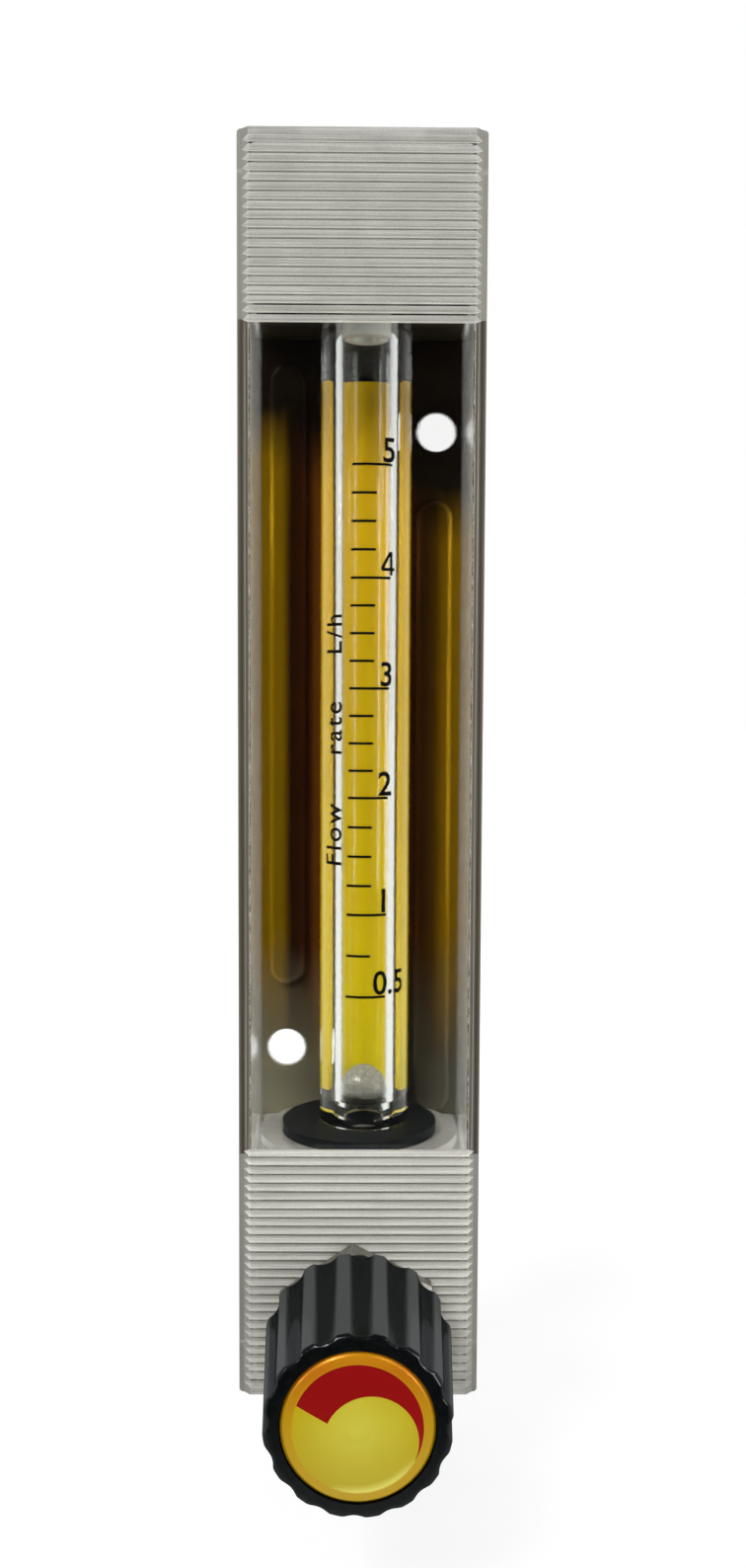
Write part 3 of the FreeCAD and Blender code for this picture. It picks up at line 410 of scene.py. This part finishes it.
# The cone on which the knob's ridges lie, as a place along Y and a radius, and the band under it in which the ridges
# get a painted grey highlight.
KNOB_REAR = (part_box("knob")[1].y / MM, 11.5)
KNOB_FRONT = (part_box("knob")[0].y / MM, 10.5)
SHEEN_BAND = (-0.42, -0.04)


def black_plastic():
    """Black moulded plastic with a weak even gloss, dark in the flutes and with a painted grey highlight on the
    ridges.
    """
    g = material_graph("knob_black")
    place = g.place()
    x, y, z = g.split(place)
    radius = g.distance(g.math("SUBTRACT", x, CAP.x / MM), g.math("SUBTRACT", z, CAP.z / MM))
    cone = g.level(y, KNOB_REAR[0], KNOB_FRONT[0], KNOB_REAR[1], KNOB_FRONT[1])
    ridge = g.level(g.math("SUBTRACT", radius, cone), *SHEEN_BAND)
    ahead = g.math("ABSOLUTE", g.facing("True Normal")[1])
    # A painted highlight: grey on the tops of the ridges where they face sideways.
    rubbing_and_painted_sheen = g.product(ridge, ridge, g.level(ahead, 0.25, 0.5, 1.0, 0.0))
    grain = g.noise(place, 1.2, 4.0, 0.6)
    dust = g.noise(g.stretch(place, (1.0, 0.2, 1.0)), 2.6, 3.0)
    black = g.ramp(grain, [(0.35, (0.002, 0.003, 0.003)), (0.7, (0.005, 0.006, 0.006))])
    colour = g.blend(rubbing_and_painted_sheen, black, (0.065, 0.068, 0.068))
    normal = g.bump(grain, 0.03)
    matt = g.add("ShaderNodeBsdfDiffuse", {"Color": colour, "Normal": normal}).outputs[0]
    gloss = g.add("ShaderNodeBsdfGlossy", {"Color": (0.03, 0.032, 0.033, 1), "Normal": normal,
                                           "Roughness": g.level(dust, 0.3, 0.7, 0.12, 0.2)}).outputs[0]
    return g.finish(g.add("ShaderNodeAddShader", {0: matt, 1: gloss}).outputs[0])


# The crescent on the knob's cap, from the cap's centre: a disc less a disc, cut along a line at its wide end.
CRESCENT_OUTER = 7.2
CRESCENT_INNER = 5.23
CRESCENT_CENTRE = (1.43, -1.46)
CRESCENT_END = ((-6.74, 2.62), (-3.29, 0.73))
CRESCENT_TIP = -3.6
CRESCENT_RED = (0.44, 0.0, 0.0)
CAP_PAINTED_REFLECTION = (0.98, 0.9, 0.16)
CAP_SHADE = (0.42, 0.33, 0.01)


def cap_face():
    """Gold foil under clear lacquer, with painted shade low down and a painted reflection inside its rim at the lower
    right, an orange rim and a red crescent that narrows clockwise.
    """
    g = material_graph("cap_face")
    place = g.place()
    x, y, z = g.split(place)
    u = g.math("SUBTRACT", x, CAP.x / MM)
    v = g.math("SUBTRACT", z, CAP.z / MM)
    radius = g.distance(u, v)

    (u1, v1), (u2, v2) = CRESCENT_END
    inner = g.distance(g.math("SUBTRACT", u, CRESCENT_CENTRE[0]), g.math("SUBTRACT", v, CRESCENT_CENTRE[1]))
    side = g.math("SUBTRACT", g.math("MULTIPLY", g.math("SUBTRACT", v, v1), u2 - u1),
                  g.math("MULTIPLY", g.math("SUBTRACT", u, u1), v2 - v1))
    past_end = g.largest(g.over(side, 0.0), g.over(u, u2))
    red = g.product(g.under(radius, CRESCENT_OUTER), g.over(inner, CRESCENT_INNER), past_end,
                    g.over(v, CRESCENT_TIP))

    shimmer = g.noise(g.stretch(place, (0.5, 1.0, 0.5)), 0.6, 3.0)
    outwards = g.level(g.math("MULTIPLY_ADD", shimmer, 2.0, radius), 1.0, 8.0)
    bright = g.ramp(outwards, [(0.0, (0.92, 0.84, 0.09)), (0.45, (0.86, 0.74, 0.05)), (1.0, (0.76, 0.58, 0.008))])
    shaded = g.blend(g.level(v, 1.0, -6.0, 0.0, 0.35), bright, CAP_SHADE)
    # A painted reflection: a lighter arc inside the rim at the lower right.
    low_side = g.level(g.math("MULTIPLY_ADD", u, 0.35, g.math("MULTIPLY", v, -1.0)), 5.2, 7.0)
    gold = g.blend(g.product(g.level(radius, 6.2, 7.1), low_side), shaded, CAP_PAINTED_REFLECTION)
    orange = g.ramp(g.level(v, -8.0, 8.0), [
        (0.0, (0.66, 0.42, 0.006)), (0.55, (0.74, 0.41, 0.002)), (0.9, (0.78, 0.24, 0.001)),
        (1.0, (0.84, 0.33, 0.001))])
    rim = g.level(radius, CRESCENT_OUTER - 0.1, CRESCENT_OUTER + 0.15)
    colour = g.blend(red, g.blend(rim, gold, orange), CRESCENT_RED)
    return g.finish(g.surface(Base_Color=colour, Metallic=0.35, Roughness=0.32, Coat_Weight=0.7, Coat_Roughness=0.04))


NODE_LOOKS = {
    "front_cover": clear_cover(),
    "glass_tube": tube_glass(),
    "float_ball": float_glass(),
    "back_plate": polished_plate(),
    "upper_block": block_metal(),
    "lower_block": block_metal(),
    "upper_stop": dull("white_stop", (0.84, 0.82, 0.76), (0.92, 0.9, 0.84), 0.45, 1.5),
    "lower_gasket": dull("black_gasket", (0.003, 0.004, 0.0045), (0.009, 0.011, 0.012), 0.55, 2.5, 0.3, 0.12),
    "valve_seat": dull("seat_plastic", (0.66, 0.66, 0.64), (0.78, 0.78, 0.76), 0.45, 1.5),
    "knob": black_plastic(),
    "knob_cap": cap_face(),
    "cover_nut": turned_metal("nut_steel", (0.34, 0.33, 0.29), (0.5, 0.48, 0.43), 0.36),
    "valve_bonnet": turned_metal("bonnet_steel", (0.44, 0.43, 0.41), (0.6, 0.59, 0.57), 0.3),
    "valve_needle": turned_metal("stem_steel", (0.5, 0.5, 0.49), (0.64, 0.64, 0.63), 0.24),
    "top_plug": turned_metal("plug_steel", (0.44, 0.43, 0.41), (0.6, 0.59, 0.57), 0.3),
    "block_screws": turned_metal("screw_steel", (0.4, 0.4, 0.4), (0.55, 0.55, 0.55), 0.3),
    "knob_collet": turned_metal("collet_brass", (0.55, 0.38, 0.13), (0.76, 0.56, 0.24), 0.28),
    "collet_nut": turned_metal("collet_nut_brass", (0.55, 0.38, 0.13), (0.76, 0.56, 0.24), 0.28),
}
RING_LOOK = dull("seal_rubber", (0.01, 0.01, 0.01), (0.022, 0.022, 0.022), 0.5, 2.0)
for node, piece in frame["nodes"].items():
    for slot in piece.material_slots:
        slot.material = NODE_LOOKS.get(node, RING_LOOK)


# The printed scale: u runs round the tube's front and v up the tube, in millimetres.
INK = dull("scale_ink", (0.0015, 0.0015, 0.0015), (0.004, 0.004, 0.0035), 0.6, 3.0, 0.05, 0.05)
PRINT_LIFT = 0.012
PRINT_STEP = 0.25
TICK_WIDTH = 0.33
TICK_LEFT = -1.8
TICK_LEAN = 0.0098
MAJOR_HEIGHTS = {"5": 35.5, "4": 21.5, "3": 7.7, "2": -6.1, "1": -21.0, "0.5": -31.55}
MAJOR_LENGTH = 5.2
MINOR_LENGTH = 3.15
NUMERAL = {"height": 2.9, "squeeze": 0.95, "bold": 0.016}
NUMERAL_RISE = 0.35
NUMERAL_INSET = 1.4
LONG_NUMERAL_INSET = 1.7
FOUR_INSET = 1.3
LEGEND = {"height": 2.7, "squeeze": 0.9, "bold": 0.006, "spacing": 1.2, "upright": False}
LEGEND_BASE = -3.15
LEGEND_STARTS = {"Flow": -15.0, "rate": -0.8, "L/h": 11.9}
# The bars of the 4 and half their width, as shares of its height.
FOUR_BARS = (((0.02, 0.26), (0.44, 0.98)), ((0.0, 0.25), (0.66, 0.25)), ((0.48, 0.0), (0.48, 1.0)))
FOUR_HALF_WIDTH = 0.068


def wrapped(name, meshes, material):
    """Joins flat meshes, drawn in millimetres round and up the tube, and lays them on its front."""
    bm = bmesh.new()
    for mesh in meshes:
        bm.from_mesh(mesh)
    low = min(v.co.x for v in bm.verts)
    high = max(v.co.x for v in bm.verts)
    for i in range(1, int((high - low) / PRINT_STEP) + 1):
        geometry = bm.verts[:] + bm.edges[:] + bm.faces[:]
        bmesh.ops.bisect_plane(bm, geom=geometry, plane_co=(low + i * PRINT_STEP, 0, 0), plane_no=(1, 0, 0))
    radius = TUBE_RADIUS / MM + PRINT_LIFT
    for v in bm.verts:
        angle = v.co.x / (TUBE_RADIUS / MM)
        x = TUBE.x + radius * MM * math.sin(angle)
        y = TUBE.y - radius * MM * math.cos(angle)
        v.co = (x, y, v.co.y * MM)
    bmesh.ops.recalc_face_normals(bm, faces=bm.faces)
    outward = sum((f.normal.dot(f.calc_center_median() - Vector((TUBE.x, TUBE.y, 0))) for f in bm.faces), 0.0)
    if outward < 0:
        bmesh.ops.reverse_faces(bm, faces=bm.faces)
    mesh = bpy.data.meshes.new(name)
    bm.to_mesh(mesh)
    bm.free()
    mesh.materials.append(material)
    piece = bpy.data.objects.new(name, mesh)
    bpy.context.scene.collection.objects.link(piece)
    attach(piece, "meter")


def print_left(height):
    """The left end of a printed line at this height, on the slightly skewed print."""
    return TICK_LEFT + TICK_LEAN * (height - MAJOR_HEIGHTS["5"])


def tick(height, length):
    left = print_left(height)
    half = TICK_WIDTH / 2
    corners = [(left, height - half, 0), (left + length, height - half, 0),
               (left + length, height + half, 0), (left, height + half, 0)]
    mesh = bpy.data.meshes.new("tick")
    mesh.from_pydata(corners, [], [(0, 1, 2, 3)])
    return mesh


def text_mesh(text, spacing=1.0, bold=0.0):
    """Flat letters of the built-in font at size 1."""
    curve = bpy.data.curves.new(text, "FONT")
    curve.body = text
    curve.space_character = spacing
    curve.offset = bold
    piece = bpy.data.objects.new(text, curve)
    bpy.context.scene.collection.objects.link(piece)
    bpy.context.view_layer.update()
    mesh = bpy.data.meshes.new_from_object(piece.evaluated_get(bpy.context.evaluated_depsgraph_get()))
    bpy.data.objects.remove(piece)
    return mesh


CAPITAL = max(v.co.y for v in text_mesh("H").vertices)


def lettering(text, u, v, height, squeeze, bold, spacing=1.0, upright=True):
    """Flat letters with a given capital height, whose lower left corner is at u, v."""
    mesh = text_mesh(text, spacing, bold)
    mesh.transform(Matrix.Diagonal((squeeze * height / CAPITAL, height / CAPITAL, 1, 1)))
    if not upright:
        mesh.transform(Matrix.Rotation(math.radians(90), 4, "Z"))
    mesh.transform(Matrix.Translation((u, v, 0)))
    return mesh


def open_four(u, v, height):
    """A 4 of three bars, because the built-in font's own 4 closes up when it is made bold."""
    corners, faces = [], []
    for start, end in FOUR_BARS:
        start, end = Vector(start) * height, Vector(end) * height
        across = (end - start).normalized().orthogonal() * FOUR_HALF_WIDTH * height
        faces.append([len(corners) + i for i in range(4)])
        corners += [(u + c.x, v + c.y, 0) for c in (start + across, start - across, end - across, end + across)]
    mesh = bpy.data.meshes.new("four")
    mesh.from_pydata(corners, [], faces)
    return mesh


def numeral(text, height):
    """A major line's numeral, which stands on the line's right end."""
    right = print_left(height) + MAJOR_LENGTH
    foot = height + NUMERAL_RISE
    if text == "4":
        return open_four(right - FOUR_INSET, foot, NUMERAL["height"])
    inset = NUMERAL_INSET if len(text) == 1 else LONG_NUMERAL_INSET
    return lettering(text, right - inset, foot, **NUMERAL)


def printed_scale():
    heights = list(MAJOR_HEIGHTS.values())
    ticks = []
    for upper, lower in zip(heights, heights[1:]):
        parts = 2 if upper == MAJOR_HEIGHTS["1"] else 4
        for i in range(1, parts):
            ticks.append(tick(upper + (lower - upper) * i / parts, MINOR_LENGTH))
    ticks += [tick(height, MAJOR_LENGTH) for height in heights]
    wrapped("scale_ticks", ticks, INK)
    wrapped("scale_numerals", [numeral(text, height) for text, height in MAJOR_HEIGHTS.items()], INK)
    wrapped("scale_legend", [lettering(word, LEGEND_BASE, start, **LEGEND) for word, start in LEGEND_STARTS.items()],
            INK)


# How bright the room in front of the meter is in reflections, and how bright the soft light on the meter is.
ROOM_LEVEL = 0.012
SOFT_LEVEL = 0.4

# The floor: its place under the meter and its half width, and in millimetres along Y, where the part that
# belongs to the dark room ends, and from which distance it is pure white.
FLOOR_DROP = 12 * MM
FLOOR_REACH = 3.0
ROOM_EDGE = (-95.0, -20.0)
SHADOW_FADE = (60.0, 220.0)


def stage():
    """A pale floor under the meter. The white background is the world's own colour."""
    height = cad_bounds[0][2] - FLOOR_DROP
    mesh = bpy.data.meshes.new("floor")
    mesh.from_pydata([(-FLOOR_REACH, -FLOOR_REACH, height), (FLOOR_REACH, -FLOOR_REACH, height),
                      (FLOOR_REACH, FLOOR_REACH, height), (-FLOOR_REACH, FLOOR_REACH, height)], [], [(0, 1, 2, 3)])
    floor = bpy.data.objects.new("floor", mesh)
    bpy.context.scene.collection.objects.link(floor)
    g = material_graph("floor")
    place = g.place()
    x, y, z = g.split(place)
    room = g.largest(g.add("ShaderNodeLightPath").outputs["Is Camera Ray"], g.level(y, *ROOM_EDGE, ROOM_LEVEL, 1.0))
    shade = g.product(room, 0.3)
    grey = g.add("ShaderNodeCombineXYZ", {0: shade, 1: shade, 2: shade}).outputs[0]
    shadowed = g.add("ShaderNodeBsdfDiffuse", {"Color": grey}).outputs[0]
    speckle = g.level(g.noise(place, 0.05, 4.0), 0.3, 0.7, 0.98, 1.0)
    far = g.level(g.distance(x, y), *SHADOW_FADE)
    strength = g.product(g.level(far, 0.0, 1.0, 0.8, 1.0), speckle, room)
    glow = g.add("ShaderNodeEmission", {"Color": WHITE, "Strength": strength}).outputs[0]
    seen = g.add("ShaderNodeAddShader", {0: shadowed, 1: glow}).outputs[0]
    plain = g.add("ShaderNodeBsdfDiffuse", {"Color": (0.82, 0.82, 0.82, 1)}).outputs[0]
    mesh.materials.append(g.finish(g.mix(g.seen_ray(), plain, seen)))


def world():
    """White behind the meter, a darker room in front of it, and a plain soft light for what it shines on."""
    sky = bpy.data.worlds.new("studio")
    bpy.context.scene.world = sky
    g = Graph(sky)
    way = g.split(g.add("ShaderNodeTexCoord").outputs["Generated"])
    ahead = g.math("MULTIPLY_ADD", g.largest(way[2], 0.0), -0.7, way[1])
    room = g.level(ahead, -0.75, 0.35, ROOM_LEVEL, 1.0)
    seen = g.largest(g.add("ShaderNodeLightPath").outputs["Is Camera Ray"], room)
    plain = g.add("ShaderNodeBackground", {"Color": WHITE, "Strength": SOFT_LEVEL}).outputs[0]
    shown = g.add("ShaderNodeBackground", {"Color": WHITE, "Strength": seen}).outputs[0]
    g.add("ShaderNodeOutputWorld", {"Surface": g.mix(g.seen_ray(), plain, shown)})


# Camera: place, small turns, and the lens for a 36 mm long side.
CAMERA_PLACE = Vector((0, COVER_FRONT - 174.4 * MM, 8.5 * MM))
CAMERA_LENS = 32.87
CAMERA_PITCH = math.radians(4.07)
CAMERA_YAW = math.radians(0.51)
CAMERA_ROLL = math.radians(0.25)

# Four small lamps, each placed so that the camera sees it in the cap's bevel at one of these angles from the top.
SPOT_ANGLES = (-48, -21, 22, 47)
SPOT_RADIUS = 8.3 * MM
SPOT_DISTANCE = 0.45


def lamp(name, place, target, size, power):
    data = bpy.data.lights.new(name, "AREA")
    data.shape = "RECTANGLE"
    data.size, data.size_y = size
    data.energy = power
    piece = bpy.data.objects.new(name, data)
    piece.location = place
    piece.rotation_euler = (Vector(target) - Vector(place)).to_track_quat("-Z", "Y").to_euler()
    bpy.context.scene.collection.objects.link(piece)


def lamps():
    lamp("key", (-0.3, -0.4, 0.45), (0, 0, 0), (0.25, 0.25), 1.8)
    lamp("fill", (0.45, -0.3, 0.0), (0, 0, 0), (0.12, 0.5), 1.3)
    for i, degrees in enumerate(SPOT_ANGLES):
        angle = math.radians(degrees)
        outwards = Vector((math.sin(angle), 0, math.cos(angle)))
        glint = Vector((CAP.x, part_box("knob_cap")[0].y, CAP.z)) + outwards * SPOT_RADIUS
        bevel = (outwards + Vector((0, -1, 0))).normalized()
        view = (CAMERA_PLACE - glint).normalized()
        mirrored = bevel * 2 * bevel.dot(view) - view
        lamp(f"spot_{i + 1}", glint + mirrored * SPOT_DISTANCE, glint, (0.03, 0.03), 0.15)


def camera():
    data = bpy.data.cameras.new("camera")
    data.lens = CAMERA_LENS
    data.sensor_width = 36.0
    data.clip_start = 0.01
    ahead = Vector((math.sin(CAMERA_YAW), math.cos(CAMERA_YAW), 0))
    side = Vector((math.cos(CAMERA_YAW), -math.sin(CAMERA_YAW), 0))
    look = ahead * math.cos(CAMERA_PITCH) - Vector((0, 0, 1)) * math.sin(CAMERA_PITCH)
    up = ahead * math.sin(CAMERA_PITCH) + Vector((0, 0, 1)) * math.cos(CAMERA_PITCH)
    right = side * math.cos(CAMERA_ROLL) + up * math.sin(CAMERA_ROLL)
    top = up * math.cos(CAMERA_ROLL) - side * math.sin(CAMERA_ROLL)
    turn = Matrix((right, top, -look)).transposed().to_4x4()
    piece = bpy.data.objects.new("camera", data)
    piece.matrix_world = Matrix.Translation(CAMERA_PLACE) @ turn
    bpy.context.scene.collection.objects.link(piece)
    bpy.context.scene.camera = piece


printed_scale()
stage()
world()
lamps()
camera()
bpy.context.scene.view_settings.view_transform = "Standard"
